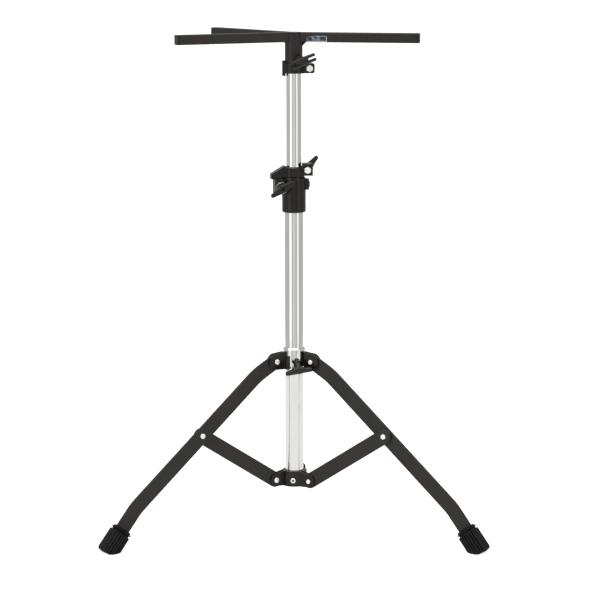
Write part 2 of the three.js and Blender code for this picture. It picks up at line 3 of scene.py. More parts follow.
import json
import math

import bmesh
import bpy
from mathutils import Matrix, Vector


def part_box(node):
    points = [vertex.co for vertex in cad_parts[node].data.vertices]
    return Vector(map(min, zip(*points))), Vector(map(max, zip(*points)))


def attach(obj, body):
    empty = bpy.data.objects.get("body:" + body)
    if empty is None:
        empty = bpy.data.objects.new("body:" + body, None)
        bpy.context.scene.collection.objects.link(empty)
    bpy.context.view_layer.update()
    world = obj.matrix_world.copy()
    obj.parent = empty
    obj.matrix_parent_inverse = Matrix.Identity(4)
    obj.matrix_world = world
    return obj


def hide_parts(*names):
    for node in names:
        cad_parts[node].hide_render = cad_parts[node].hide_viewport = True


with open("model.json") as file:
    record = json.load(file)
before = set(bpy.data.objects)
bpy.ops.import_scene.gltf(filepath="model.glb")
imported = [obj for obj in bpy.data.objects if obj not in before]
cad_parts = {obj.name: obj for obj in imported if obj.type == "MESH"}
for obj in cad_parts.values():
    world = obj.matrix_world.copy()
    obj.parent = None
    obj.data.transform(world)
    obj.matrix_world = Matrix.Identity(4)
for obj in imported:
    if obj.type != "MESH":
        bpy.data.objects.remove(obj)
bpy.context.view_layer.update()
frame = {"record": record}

MM = 0.001
RECORD = frame["record"]
BODY_OF = {n: b for b, nodes in RECORD["behaviour"]["bodies"].items() for n in nodes}
MAST_Y = (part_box("lower_tube")[0].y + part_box("lower_tube")[1].y) / 2 / MM

# ---- sizes, in millimetres about the mast axis -----------------------------------------------
SIDES = 72
LEG_AZIMUTHS = {"left": 210, "right": 330, "rear": 90}
ARM_AZIMUTHS = {"right": -12, "rear": 130, "left": 205.5}
BAR_WIDTH, BRACE_WIDTH, BAR_THICK = 25, 24.5, 4.5
LEG_OFFSET, BRACE_OFFSET = -1.5, -6.5
TOP_PIVOT, MID_PIVOT, LOW_PIVOT = (34.8, 283.1), (171.8, 172.6), (33.5, 83.9)
KNEES = [(69.4, 263.1, 120), (292.9, 66.8, 100)]
FOOT_TOP = (319.4, 32.9)
FOOT_RADIUS, FOOT_NECK, FOOT_FLANGE, FOOT_LENGTH = 18, 15.4, 17.9, 43.5
FOOT_RIBS, FOOT_POCKET = 24, 28
GAP = 0.3
PIN_R, PIN_HEAD, PIN_HEAD_HIGH, PIN_END = 3, 4.3, 2.4, 3.6
TUBE_R = {"lower_tube": (13.6, 15), "upper_tube": (10.9, 12.2)}
RECEIVER_AZIMUTH = 188
CLAMP_AZIMUTH, CLAMP_SCREW_UP = 297, 775.5
COLLAR_WING_AZIMUTH, COLLAR_WING_TILT = 283, -40
HUB_SCREW_AZIMUTH, HUB_SCREW_UP = 264, 84
STAND_TOP = 821
WING_ROLL = {"receiver": 122, "lock": 40, "top": 109, "collar": 102}
WING_HUB, WING_SPAN = 8.8, 22.8


# ---- solids: (vertices, faces) pairs ---------------------------------------------------------
def lathe(profile, sides=SIDES):
    """Closed solid of revolution about Z; the profile closes on itself or ends on the axis."""
    vertices, rings = [], []
    for r, z in profile:
        if r < 1e-6:
            rings.append([len(vertices)] * sides)
            vertices.append((0, 0, z))
            continue
        rings.append(list(range(len(vertices), len(vertices) + sides)))
        for k in range(sides):
            a = 2 * math.pi * k / sides
            vertices.append((r * math.cos(a), r * math.sin(a), z))
    pairs = list(zip(rings, rings[1:]))
    if profile[0][0] > 1e-6:
        pairs.append((rings[-1], rings[0]))
    faces = []
    for low, high in pairs:
        for k in range(sides):
            n = (k + 1) % sides
            corners = [low[k], low[n], high[n], high[k]]
            face = [c for i, c in enumerate(corners) if c not in corners[:i]]
            if len(face) > 2:
                faces.append(face)
    return vertices, faces


def prism(points, low, high):
    """Plate standing in the XZ plane between y = low and y = high."""
    bm = bmesh.new()
    bm.faces.new([bm.verts.new((x, low, z)) for x, z in points])
    side = bmesh.ops.extrude_face_region(bm, geom=bm.faces[:], use_keep_orig=True)
    top = [v for v in side["geom"] if isinstance(v, bmesh.types.BMVert)]
    bmesh.ops.translate(bm, verts=top, vec=(0, high - low, 0))
    return unpack(bm)


def unpack(bm):
    bmesh.ops.recalc_face_normals(bm, faces=bm.faces[:])
    bm.verts.index_update()
    solid = [tuple(v.co) for v in bm.verts], [[v.index for v in f.verts] for f in bm.faces]
    bm.free()
    return solid


def block(x0, x1, y0, y1, z0, z1):
    return prism([(x0, z0), (x1, z0), (x1, z1), (x0, z1)], y0, y1)


def ring(bore, r, low, high, sides=SIDES):
    return lathe([(bore, low), (r, low), (r, high), (bore, high)], sides)


def disc(r, low, high, sides=SIDES):
    return lathe([(0, low), (r, low), (r, high), (0, high)], sides)


def moved(solid, *matrices):
    vertices, faces = solid
    for m in matrices:
        vertices = [tuple(m @ Vector(v)) for v in vertices]
    return vertices, faces


def joined(*solids):
    vertices, faces = [], []
    for more, polygons in solids:
        start = len(vertices)
        vertices += more
        faces += [[i + start for i in f] for f in polygons]
    return vertices, faces


def arc(centre, r, start, end, steps=18):
    return [(centre[0] + r * math.cos(start + (end - start) * k / steps),
             centre[1] + r * math.sin(start + (end - start) * k / steps)) for k in range(steps + 1)]


def turn(axis, degrees):
    return Matrix.Rotation(math.radians(degrees), 4, axis)


def shift(x, y, z):
    return Matrix.Translation((x, y, z))


def across(solid, x, z):
    """Lays a turned solid along +Y through the line (x, z)."""
    return moved(solid, turn("X", -90), shift(x, 0, z))


def outward(solid, z):
    """Lays a turned solid along +X at height z."""
    return moved(solid, turn("Y", 90), shift(0, 0, z))


def around(solid, azimuth):
    return moved(solid, turn("Z", azimuth))


# ---- pieces ----------------------------------------------------------------------------------
def make_object(name, solid):
    mesh = bpy.data.meshes.new(name)
    vertices, faces = solid
    mesh.from_pydata([(x * MM, (y + MAST_Y) * MM, z * MM) for x, y, z in vertices], [], faces)
    bm = bmesh.new()
    bm.from_mesh(mesh)
    bmesh.ops.remove_doubles(bm, verts=bm.verts[:], dist=1e-6)
    bmesh.ops.recalc_face_normals(bm, faces=bm.faces[:])
    bm.to_mesh(mesh)
    bm.free()
    obj = bpy.data.objects.new(name, mesh)
    bpy.context.scene.collection.objects.link(obj)
    return obj


def bake_modifiers(obj):
    """Applies an object's modifiers to its mesh."""
    graph = bpy.context.evaluated_depsgraph_get()
    graph.update()
    mesh = bpy.data.meshes.new_from_object(obj.evaluated_get(graph))
    obj.modifiers.clear()
    old, obj.data = obj.data, mesh
    bpy.data.meshes.remove(old)


def subtract(obj, cutter):
    """Cuts a solid out of an object."""
    tool = make_object("cutter", cutter)
    modifier = obj.modifiers.new("cut", "BOOLEAN")
    modifier.operation, modifier.solver, modifier.object = "DIFFERENCE", "EXACT", tool
    modifier.use_self = True
    bake_modifiers(obj)
    bpy.data.objects.remove(tool)


def soften(obj, width, segments=3, angle=28):
    """Rounds the sharp edges."""
    modifier = obj.modifiers.new("edges", "BEVEL")
    modifier.width, modifier.segments = width * MM, segments
    modifier.limit_method, modifier.angle_limit = "ANGLE", math.radians(angle)
    bake_modifiers(obj)


def cast(obj, voxel, smoothing):
    """Fuses the solids into one skin with the rounded edges of a casting or moulding."""
    remesh = obj.modifiers.new("fuse", "REMESH")
    remesh.mode, remesh.voxel_size = "VOXEL", voxel * MM
    smooth = obj.modifiers.new("round", "SMOOTH")
    smooth.factor, smooth.iterations = 0.5, smoothing
    bake_modifiers(obj)


def finish_piece(obj, node, material, replaces=True, sharp=32):
    """Gives a piece its finish and hangs it on the CAD body of the node that it stands for."""
    obj.data.shade_smooth()
    obj.data.set_sharp_from_angle(angle=math.radians(sharp))
    flats = obj.modifiers.new("flats", "WEIGHTED_NORMAL")
    flats.keep_sharp = True
    obj.data.materials.clear()
    obj.data.materials.append(material)
    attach(obj, BODY_OF[node])
    if replaces:
        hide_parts(node)
    return obj


def plain(node, solid, material, edge=0.4, cutter=None, sharp=32):
    """A turned or cut piece with softly broken edges."""
    obj = make_object(node + "_skin", solid)
    if cutter:
        subtract(obj, cutter)
    if edge:
        soften(obj, edge)
    return finish_piece(obj, node, material, sharp=sharp)


def casting(node, added, removed, material, voxel=0.45, smoothing=5):
    obj = make_object(node + "_skin", joined(*added))
    if removed:
        subtract(obj, joined(*removed))
    cast(obj, voxel, smoothing)
    return finish_piece(obj, node, material, sharp=60)


# ---- materials -------------------------------------------------------------------------------
class Look:
    """A Principled material with helpers for procedural detail in object space, in metres."""

    def __init__(self, name, colour, metallic=0.0, roughness=0.5):
        self.material = bpy.data.materials.new(name)
        self.material.use_nodes = True
        self.nodes = self.material.node_tree.nodes
        self.links = self.material.node_tree.links
        self.shader = self.nodes["Principled BSDF"]
        self.set("Base Color", (*colour, 1))
        self.set("Metallic", metallic)
        self.set("Roughness", roughness)
        self.place = self.nodes.new("ShaderNodeTexCoord").outputs["Object"]
        self.normal = None

    def set(self, socket, value):
        self.shader.inputs[socket].default_value = value

    def stretched(self, scale):
        mapping = self.nodes.new("ShaderNodeMapping")
        mapping.inputs["Scale"].default_value = scale
        self.links.new(self.place, mapping.inputs["Vector"])
        return mapping.outputs["Vector"]

    def noise(self, scale, detail=3.0, roughness=0.55, stretch=None):
        node = self.nodes.new("ShaderNodeTexNoise")
        node.inputs["Scale"].default_value = scale
        node.inputs["Detail"].default_value = detail
        node.inputs["Roughness"].default_value = roughness
        self.links.new(self.stretched(stretch) if stretch else self.place, node.inputs["Vector"])
        return node.outputs["Fac"]

    def cells(self, scale):
        node = self.nodes.new("ShaderNodeTexVoronoi")
        node.inputs["Scale"].default_value = scale
        self.links.new(self.place, node.inputs["Vector"])
        return node.outputs["Distance"]

    def spread(self, value, low, high, to_low, to_high):
        node = self.nodes.new("ShaderNodeMapRange")
        for name, v in zip(("From Min", "From Max", "To Min", "To Max"), (low, high, to_low, to_high)):
            node.inputs[name].default_value = v
        self.links.new(value, node.inputs["Value"])
        return node.outputs["Result"]

    def shade(self, value, low, high, stops):
        """Colours a 0 to 1 value by a ramp between two colours."""
        node = self.nodes.new("ShaderNodeValToRGB")
        node.color_ramp.elements[0].position, node.color_ramp.elements[1].position = low, high
        node.color_ramp.elements[0].color = (*stops[0], 1)
        node.color_ramp.elements[1].color = (*stops[1], 1)
        self.links.new(value, node.inputs["Fac"])
        return node.outputs["Color"]

    def mix(self, share, first, second):
        node = self.nodes.new("ShaderNodeMix")
        node.data_type = "RGBA"
        for socket, value in ((node.inputs[0], share), (node.inputs[6], first), (node.inputs[7], second)):
            if isinstance(value, bpy.types.NodeSocket):
                self.links.new(value, socket)
            else:
                socket.default_value = (*value, 1)
        return node.outputs[2]

    def worn_edges(self, low=0.52, high=0.62):
        """0 on flats, rising on convex edges."""
        return self.spread(self.nodes.new("ShaderNodeNewGeometry").outputs["Pointiness"], low, high, 0, 1)

    def colour(self, value):
        self.links.new(value, self.shader.inputs["Base Color"])

    def rough(self, value):
        self.links.new(value, self.shader.inputs["Roughness"])

    def bump(self, height, distance, strength=1.0):
        node = self.nodes.new("ShaderNodeBump")
        node.inputs["Strength"].default_value = strength
        node.inputs["Distance"].default_value = distance
        self.links.new(height, node.inputs["Height"])
        if self.normal is not None:
            self.links.new(self.normal, node.inputs["Normal"])
        self.normal = node.outputs["Normal"]
        self.links.new(self.normal, self.shader.inputs["Normal"])


def chrome_look():
    look = Look("chrome", (0.82, 0.83, 0.84), 1.0, 0.05)
    look.colour(look.shade(look.noise(6, 2), 0.35, 0.7, ((0.82, 0.825, 0.81), (0.855, 0.86, 0.84))))
    look.rough(look.spread(look.noise(90, 4), 0.35, 0.75, 0.03, 0.085))
    look.bump(look.noise(1, 2, stretch=(1400, 1400, 9)), 0.000004)
    return look.material


def paint_look():
    look = Look("satin_black_paint", (0.014, 0.012, 0.0117), 0.0, 0.38)
    look.set("Specular IOR Level", 0.33)
    look.set("Specular Tint", (1.0, 0.94, 0.89, 1.0))
    tones = (0.0120, 0.0100, 0.0095), (0.0175, 0.0148, 0.0141)
    look.colour(look.shade(look.noise(14, 4), 0.3, 0.75, tones))
    look.rough(look.spread(look.noise(60, 3), 0.3, 0.75, 0.33, 0.44))
    look.bump(look.noise(1300, 2), 0.00006, 0.5)
    look.bump(look.noise(260, 2), 0.00008, 0.35)
    return look.material


def casting_look():
    look = Look("black_casting", (0.006, 0.005, 0.005), 0.0, 0.24)
    look.set("Specular Tint", (1.0, 0.94, 0.90, 1.0))
    look.set("Specular IOR Level", 0.36)
    body = look.shade(look.noise(40, 4), 0.3, 0.75, ((0.0045, 0.0036, 0.0037), (0.0085, 0.0070, 0.0070)))
    look.colour(look.mix(look.worn_edges(0.53, 0.68), body, (0.026, 0.024, 0.023)))
    look.rough(look.spread(look.noise(120, 3), 0.3, 0.75, 0.2, 0.32))
    look.bump(look.noise(900, 3), 0.00007, 0.4)
    look.bump(look.noise(160, 2), 0.00012, 0.25)
    return look.material


def plastic_look():
    look = Look("black_plastic", (0.006, 0.005, 0.005), 0.0, 0.34)
    look.set("Specular IOR Level", 0.34)
    tones = (0.0055, 0.0047, 0.0047), (0.0095, 0.0083, 0.0082)
    look.colour(look.shade(look.noise(50, 3), 0.3, 0.7, tones))
    look.rough(look.spread(look.noise(200, 3), 0.3, 0.7, 0.28, 0.4))
    look.bump(look.cells(2200), 0.00003, 0.5)
    return look.material


def rubber_look():
    look = Look("rubber", (0.005, 0.0047, 0.0045), 0.0, 0.75)
    look.set("Specular IOR Level", 0.2)
    dusty = look.shade(look.noise(70, 5), 0.45, 0.8, ((0.0035, 0.0032, 0.0032), (0.0100, 0.0096, 0.0090)))
    look.colour(look.mix(look.worn_edges(0.54, 0.72), dusty, (0.020, 0.019, 0.018)))
    look.rough(look.spread(look.noise(150, 3), 0.3, 0.75, 0.65, 0.85))
    look.bump(look.noise(1500, 3), 0.00012, 0.6)
    return look.material


def zinc_look():
    look = Look("zinc_fastener", (0.9, 0.88, 0.83), 0.5, 0.3)
    look.colour(look.shade(look.noise(120, 4), 0.3, 0.75, ((0.84, 0.82, 0.76), (0.97, 0.95, 0.90))))
    look.rough(look.spread(look.noise(400, 4), 0.3, 0.75, 0.2, 0.38))
    look.bump(look.noise(1800, 2), 0.00003, 0.5)
    return look.material


def nylon_look():
    look = Look("nylon", (0.05, 0.05, 0.048), 0.0, 0.5)
    look.colour(look.shade(look.noise(60, 3), 0.3, 0.7, ((0.042, 0.042, 0.040), (0.06, 0.06, 0.057))))
    look.rough(look.spread(look.noise(150, 2), 0.3, 0.7, 0.42, 0.58))
    look.bump(look.noise(1200, 2), 0.00004, 0.4)
    return look.material


# Near-black, barely glossy material for the plug at the bottom of the hub screw's hex socket: painted shade
# standing for the shadow in the recess.
def socket_shade_look():
    look = Look("socket_shadow", (0.006, 0.006, 0.006), 0.0, 0.5)
    look.set("Specular IOR Level", 0.1)
    look.rough(look.spread(look.noise(600, 2), 0.3, 0.7, 0.4, 0.6))
    return look.material


CHROME, PAINT, CAST, PLASTIC = chrome_look(), paint_look(), casting_look(), plastic_look()
RUBBER, ZINC, NYLON, SOCKET_SHADE = rubber_look(), zinc_look(), nylon_look(), socket_shade_look()


# ---- tubes -----------------------------------------------------------------------------------
def tube_profile(bore, r, low, high, edge=0.35):
    def corner(x, z, sx, sz):
        span = [math.pi / 2 * k / 4 for k in range(5)]
        centre = (x - sx * edge, z - sz * edge)
        run = [(centre[0] + sx * edge * math.cos(a), centre[1] + sz * edge * math.sin(a)) for a in span]
        return run if sx * sz > 0 else run[::-1]
    return [*corner(r, low, 1, -1), *corner(r, high, 1, 1), *corner(bore, high, -1, 1),
            *corner(bore, low, -1, -1)]


def build_tubes():
    for node, (bore, r) in TUBE_R.items():
        low, high = (corner.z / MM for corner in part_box(node))
        plain(node, lathe(tube_profile(bore, r, low, high), 128), CHROME, edge=0)
    low, high = (c.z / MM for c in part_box("lower_tube_plug"))
    lip = low + 3.2
    plug = lathe([(0, low), (15, low), (15, lip), (13, lip), (13, high), (0, high)])
    plain("lower_tube_plug", plug, PLASTIC)
    low, high = (c.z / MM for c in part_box("upper_tube_guide"))
    seat = high - 12.3
    guide = [(8.3, low), (13, low), (13, seat), (10.3, seat), (10.3, high), (8.3, high)]
    plain("upper_tube_guide", lathe(guide), NYLON, 0.25)
    low, high = (c.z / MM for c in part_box("receiver_bushing"))
    seat = high - 8.6
    bushing = [(12.6, low), (13.3, low), (13.3, seat), (15.1, seat), (15.1, high), (12.6, high)]
    plain("receiver_bushing", lathe(bushing), NYLON, 0.15)


# ---- fasteners -------------------------------------------------------------------------------
def hexagon(flats, low, high, sides=72):
    """Hexagonal head with the corner arcs that a turned chamfer leaves."""
    def reach(a):
        return flats / math.cos((a + math.pi / 6) % (math.pi / 3) - math.pi / 6)
    levels = []
    for inset, z in ((0, 0), (0, 1), (0.06, 1)):
        run = []
        for k in range(sides):
            a = 2 * math.pi * k / sides
            r = reach(a) if inset == 0 else flats * (1 - inset)
            drop = (reach(a) - flats * 0.96) * 0.5 if (z and inset == 0) else 0
            run.append((r * math.cos(a), r * math.sin(a), low + (high - low) * z - drop))
        levels.append(run)
    vertices = [v for run in levels for v in run]
    faces = [list(range(sides))[::-1], list(range(2 * sides, 3 * sides))]
    for level in range(2):
        for k in range(sides):
            n = (k + 1) % sides
            base = level * sides
            faces.append([base + k, base + n, base + sides + n, base + sides + k])
    return vertices, faces


def threaded(r, low, high, pitch=1.0, depth=0.35):
    """Rod with turned grooves standing for its thread."""
    turns = int((high - low) / pitch)
    profile = [(0, low), (r - depth, low)]
    for k in range(turns):
        z = low + k * pitch
        profile += [(r - depth, z + 0.2), (r, z + 0.5), (r - depth, z + 0.8)]
    return lathe([*profile, (r - depth, high), (0, high)], 32)


def domed_head(r, low, high, sides=48):
    steps = [math.pi / 2 * k / 8 for k in range(9)]
    rim = 0.35 * (high - low)
    dome = [(r * math.cos(a), low + rim + (high - low - rim) * math.sin(a)) for a in steps[:-1]]
    return lathe([(0, low), (r, low), *dome, (0, high)], sides)


def cross_recess(top, size=2.6, width=0.75, deep=1.1):
    slot = block(-size, size, -width / 2, width / 2, top - deep, top + 2)
    return joined(slot, moved(slot, turn("Z", 90)))


def pivot_pin(node, azimuth, y0, y1, pivot, both=True):
    """Pin along Y: cross-headed on its +Y side, with a ringed end on its -Y side."""
    solids = [disc(PIN_R, y0 - GAP if both else y0, y1 + GAP + 0.2, 48)]
    solids.append(moved(domed_head(PIN_HEAD, 0, PIN_HEAD_HIGH), shift(0, 0, y1 + GAP)))
    if both:
        end = lathe([(0, -1.6), (2, -1.6), (2, -1.2), (2.7, -1.2), (3.1, -1.6), (PIN_END, -1.1),
                     (PIN_END, 0), (0, 0)], 48)
        solids.append(moved(end, shift(0, 0, y0 - GAP)))
    cutter = cross_recess(y1 + GAP + PIN_HEAD_HIGH)
    lay = [turn("Z", 45), turn("X", -90), shift(pivot[0], 0, pivot[1]), turn("Z", azimuth)]
    plain(node, moved(joined(*solids), *lay), ZINC, 0.1, moved(cutter, *lay))


def mid_nut(node, azimuth, face, pivot):
    """Nut with its bolt end showing, towards -Y, and the shank that carries the brace."""
    head = joined(hexagon(3.9, 0, 2.4), threaded(2.6, 2.2, 3.2, pitch=0.5, depth=0.2))
    shank = disc(PIN_R, -BAR_THICK - GAP, 0.1, 48)
    lay = [turn("X", 180), shift(0, 0, face), turn("X", -90), shift(pivot[0], 0, pivot[1])]
    plain(node, moved(joined(head, shank), *lay, turn("Z", azimuth)), ZINC, 0.1)


def hex_bolt(node, azimuth, half, tail, along, up):
    """Bolt lying along Y with its head towards -Y."""
    head = moved(hexagon(5, 0, 4), shift(0, 0, half + GAP))
    collar = disc(4.7, half + GAP - 0.01, half + GAP + 0.4, 48)
    rod = disc(2.95, -half, half + GAP + 0.5, 48)
    tip = threaded(2.95, -half - tail, -half + 0.3)
    lay = [turn("X", -90), turn("Z", 180), shift(along, 0, up), turn("Z", azimuth)]
    plain(node, moved(joined(head, collar, rod, tip), *lay), ZINC, 0.12)


# ---- lower hub -------------------------------------------------------------------------------
def build_lower_hub():
    half = BAR_THICK / 2 + GAP
    thick, r, bore, bottom, top = 2.8, 20.6, 15.4, 73.5, 99
    solids = [disc(r, bottom, top)]
    for azimuth in LEG_AZIMUTHS.values():
        for side in (-1, 1):
            ear = [(bore + 1, bottom), *arc(LOW_PIVOT, 10.4, -math.pi / 2, math.pi * 0.42), (bore + 1, top)]
            y = BRACE_OFFSET + side * (half + thick / 2)
            solids.append(around(prism(ear, y - thick / 2, y + thick / 2), azimuth))
    hole = around(outward(disc(3.4, bore, r + 5, 48), HUB_SCREW_UP), HUB_SCREW_AZIMUTH)
    holes = [around(across(disc(3.2, -30, 30, 48), *LOW_PIVOT), a) for a in LEG_AZIMUTHS.values()]
    casting("lower_hub", solids, [disc(bore, bottom - 5, top + 5), hole, *holes], CAST, 0.45, 4)

    seat = r + GAP
    screw = joined(disc(3, bore + GAP, seat + 0.2, 48), moved(domed_head(4.2, 0, 2.2), shift(0, 0, seat)))
    socket = moved(hexagon(1.8, 0, 4, 36), shift(0, 0, seat + 0.7))
    lay = [turn("Y", 90), shift(0, 0, HUB_SCREW_UP), turn("Z", HUB_SCREW_AZIMUTH)]
    plain("hub_screw", moved(screw, *lay), ZINC, 0.1, moved(socket, *lay))
    # A thin near-black hexagon at the bottom of the socket: painted shade in the recess, not a real part of
    # the screw.
    depth = make_object("hub_screw_socket_shade", moved(hexagon(1.78, seat + 0.5, seat + 1.1, 36), *lay))
    finish_piece(depth, "hub_screw", SOCKET_SHADE, replaces=False)


# ---- legs ------------------------------------------------------------------------------------
def rounded_line(points):
    """Points and unit left-hand normals along a line whose knees (r, z, bend) are arcs."""
    run = []
    for i, point in enumerate(points):
        here = Vector(point[:2])
        before = (here - Vector(points[i - 1][:2])).normalized() if i else None
        after = (Vector(points[i + 1][:2]) - here).normalized() if i < len(points) - 1 else None
        if before is None or after is None:
            along = before or after
            run.append((here, Vector((-along.y, along.x))))
            continue
        swing = math.atan2(before.x * after.y - before.y * after.x, before.dot(after))
        sign, bend = math.copysign(1, swing), point[2]
        start = here - before * bend * math.tan(abs(swing) / 2)
        normal = Vector((-before.y, before.x))
        centre = start + normal * sign * bend
        for k in range(13):
            spoke = (-normal * sign * bend).copy()
            spoke.rotate(Matrix.Rotation(swing * k / 12, 2))
            run.append((centre + spoke, -spoke.normalized() * sign))
    return run


def leg_direction():
    knee = Vector(KNEES[1][:2])
    return (Vector(FOOT_TOP) - knee).normalized()


def leg_solid():
    end = Vector(FOOT_TOP) + leg_direction() * (FOOT_POCKET - 1)
    run = rounded_line([TOP_PIVOT, *KNEES, tuple(end)])
    half = BAR_WIDTH / 2
    upper = [tuple(p + n * half) for p, n in run]
    lower = [tuple(p - n * half) for p, n in run]
    normal = run[0][1]
    start = math.atan2(normal.y, normal.x)
    top = arc(TOP_PIVOT, half, start, start + math.pi, 28)
    outline = [*top, *lower[1:], *upper[1:][::-1]]
    return prism(outline, LEG_OFFSET - BAR_THICK / 2, LEG_OFFSET + BAR_THICK / 2)


def brace_solid():
    along = math.atan2(MID_PIVOT[1] - LOW_PIVOT[1], MID_PIVOT[0] - LOW_PIVOT[0])
    quarter, r = math.pi / 2, BRACE_WIDTH / 2
    outline = [*arc(LOW_PIVOT, r, along + quarter, along + 3 * quarter, 28),
               *arc(MID_PIVOT, r, along - quarter, along + quarter, 28)]
    return prism(outline, BRACE_OFFSET - BAR_THICK / 2, BRACE_OFFSET + BAR_THICK / 2)


def bar(node, solid, pivots, azimuth):
    """Flat bar with rounded edges, drilled for its two pivots."""
    obj = make_object(node + "_skin", around(solid, azimuth))
    soften(obj, 1.1)
    holes = joined(*(across(disc(PIN_R + 0.2, -30, 30, 32), *pivot) for pivot in pivots))
    subtract(obj, around(holes, azimuth))
    return finish_piece(obj, node, PAINT)


def foot_radius(s, a):
    """Radius of the rubber foot at a distance s below its flange, at angle a about its axis."""
    if abs(s) < 0.9:
        return FOOT_FLANGE - 1.6 * max(0.0, abs(s) - 0.3)
    if s < 4.6:
        return FOOT_NECK - 0.5 * (0.5 + 0.5 * math.cos(s * 2 * math.pi / 1.25))
    base = FOOT_RADIUS - max(0.0, 5.2 - s)
    fade = min(1.0, max(0.0, (s - 5.8) / 1.2))
    panel = min(1.0, max(0.0, (abs(math.remainder(a, 2 * math.pi)) - 0.55) / 0.1))
    groove = max(0.0, math.cos(a * FOOT_RIBS)) ** 0.6
    base -= 2.1 * groove * fade * panel
    rest, edge = FOOT_LENGTH - s, 5.0
    if rest < edge:
        base -= edge - math.sqrt(max(0.0, edge * edge - (edge - rest) ** 2))
    return base


def foot_solid():
    stations = [-3.5, -3.0, -1.3, -0.92, -0.88, -0.3, 0.3, 0.88, 0.92]
    stations += [1.2 + 0.2 * k for k in range(17)]
    stations += [4.58, 4.62, 5.2, 5.8, 6.2, 6.6, 7.0]
    stations += [8 + 1.7 * k for k in range(18)]
    stations += [FOOT_LENGTH - 5 * (1 - math.sin(math.pi / 2 * k / 8)) for k in range(1, 9)]
    sides = FOOT_RIBS * 8
    vertices, rings = [], []
    for s in stations:
        rings.append(range(len(vertices), len(vertices) + sides))
        for k in range(sides):
            a = 2 * math.pi * k / sides
            r = foot_radius(s, a)
            vertices.append((-r * math.cos(a), r * math.sin(a), s))
    faces = [list(rings[0]), list(rings[-1])]
    for low, high in zip(rings, rings[1:]):
        faces += [[low[k], low[(k + 1) % sides], high[(k + 1) % sides], high[k]] for k in range(sides)]
    direction = leg_direction()
    tail = math.degrees(math.atan2(direction.y, direction.x))
    lay = [turn("Y", 90), turn("Y", -tail), shift(FOOT_TOP[0], LEG_OFFSET, FOOT_TOP[1])]
    vertices, faces = moved((vertices, faces), *lay)
    return vertices, faces, lay


def build_foot(side, azimuth):
    vertices, faces, lay = foot_solid()
    node = f"rubber_foot_{side}"
    obj = make_object(node + "_skin", around((vertices, faces), azimuth))
    long, short = BAR_WIDTH / 2 + 0.4, BAR_THICK / 2 + 0.4
    pocket = around(moved(block(-long, long, -short, short, -8, FOOT_POCKET - 0.5), *lay), azimuth)
    floor = around(block(240, 460, -70, 70, -70, 0), azimuth)
    subtract(obj, joined(pocket, floor))
    soften(obj, 0.25, 2, 35)
    finish_piece(obj, node, RUBBER, sharp=50)


def build_legs():
    for side, azimuth in LEG_AZIMUTHS.items():
        bar(f"leg_{side}", leg_solid(), (TOP_PIVOT, MID_PIVOT), azimuth)
        bar(f"brace_{side}", brace_solid(), (LOW_PIVOT, MID_PIVOT), azimuth)
        build_foot(side, azimuth)
        stack = BAR_THICK / 2 + GAP + 3
        pivot_pin(f"collar_pivot_pin_{side}", azimuth, LEG_OFFSET - stack, LEG_OFFSET + stack, TOP_PIVOT)
        stack = BAR_THICK / 2 + GAP + 2.8
        pivot_pin(f"lower_pivot_pin_{side}", azimuth, BRACE_OFFSET - stack, BRACE_OFFSET + stack, LOW_PIVOT)
        low, high = LEG_OFFSET - BAR_THICK / 2, LEG_OFFSET + BAR_THICK / 2
        pivot_pin(f"mid_pivot_bolt_{side}", azimuth, low, high, MID_PIVOT, both=False)
        face = BRACE_OFFSET - BAR_THICK / 2 - GAP
        mid_nut(f"mid_pivot_nut_{side}", azimuth, face, MID_PIVOT)


# ---- wings -----------------------------------------------------------------------------------
def wing_solid(hub, forked, span):
    """Two blades flaring from a conical hub, along +Z."""
    sections, around_section = 45, 28
    vertices, rings = [], []
    for i in range(sections):
        x = -span + 2 * span * i / (sections - 1)
        u = abs(x) / span
        close = max(0.08, math.sqrt(max(0.0, 1 - max(0.0, (abs(x) - span + 3) / 3) ** 2)))
        middle = 11.6 + 3.6 * u
        tall = (4.7 - 1.6 * u) * close
        wide = (6.8 if forked else 7.1 - 4.1 * u) * (0.3 + 0.7 * close)
        rings.append(range(len(vertices), len(vertices) + around_section))
        for k in range(around_section):
            a = 2 * math.pi * k / around_section
            c, s = math.cos(a), math.sin(a)
            y = wide * math.copysign(abs(c) ** 0.72, c)
            z = middle + tall * math.copysign(abs(s) ** 0.72, s)
            vertices.append((x, y, z))
    faces = [list(rings[0]), list(rings[-1])]
    for low, high in zip(rings, rings[1:]):
        n = around_section
        faces += [[low[k], low[(k + 1) % n], high[(k + 1) % n], high[k]] for k in range(n)]
    core = lathe([(0, 0), (hub - 0.5, 0), (hub, 0.5), (hub, 1.6), (5.9, 10), (5.8, 15.4), (5, 16.2),
                  (0, 16.2)], 64)
    return joined((vertices, faces), core)


def wing_hollows(forked):
    """Thumb hollows in both faces of both blades, or the slots that fork them."""
    if forked:
        hollows = [block(8, 30, -2, 2, 4, 30)]
    else:
        low, high = math.pi / 2, 3 * math.pi / 2
        outline = [*arc((18.6, 14.4), 1.6, -low, low, 8), *arc((11, 12.7), 2.1, low, high, 8)]
        hollows = [prism(outline, 2.7, 9), prism(outline, -9, -2.7)]
    return joined(*hollows, *(moved(h, turn("Z", 180)) for h in hollows))


def wing(node, roll, lay, hub=WING_HUB, forked=False, stud=0.0, span=WING_SPAN):
    """A wing screw with a stud, or with no stud a wing nut with an open end."""
    aim = [turn("Z", roll), turn("Y", 90), *lay]
    obj = make_object(node + "_skin", moved(wing_solid(hub, forked, span), *aim))
    subtract(obj, moved(wing_hollows(forked), *aim))
    cast(obj, 0.4, 4)
    if not stud:
        subtract(obj, moved(disc(2.4, 11, 30, 40), *aim))
    finish_piece(obj, node, PLASTIC, sharp=60)
    if stud:
        rod = make_object(node + "_stud", moved(disc(PIN_R, -stud, 2, 40), *aim))
        soften(rod, 0.3)
        finish_piece(rod, node, CAST, replaces=False)


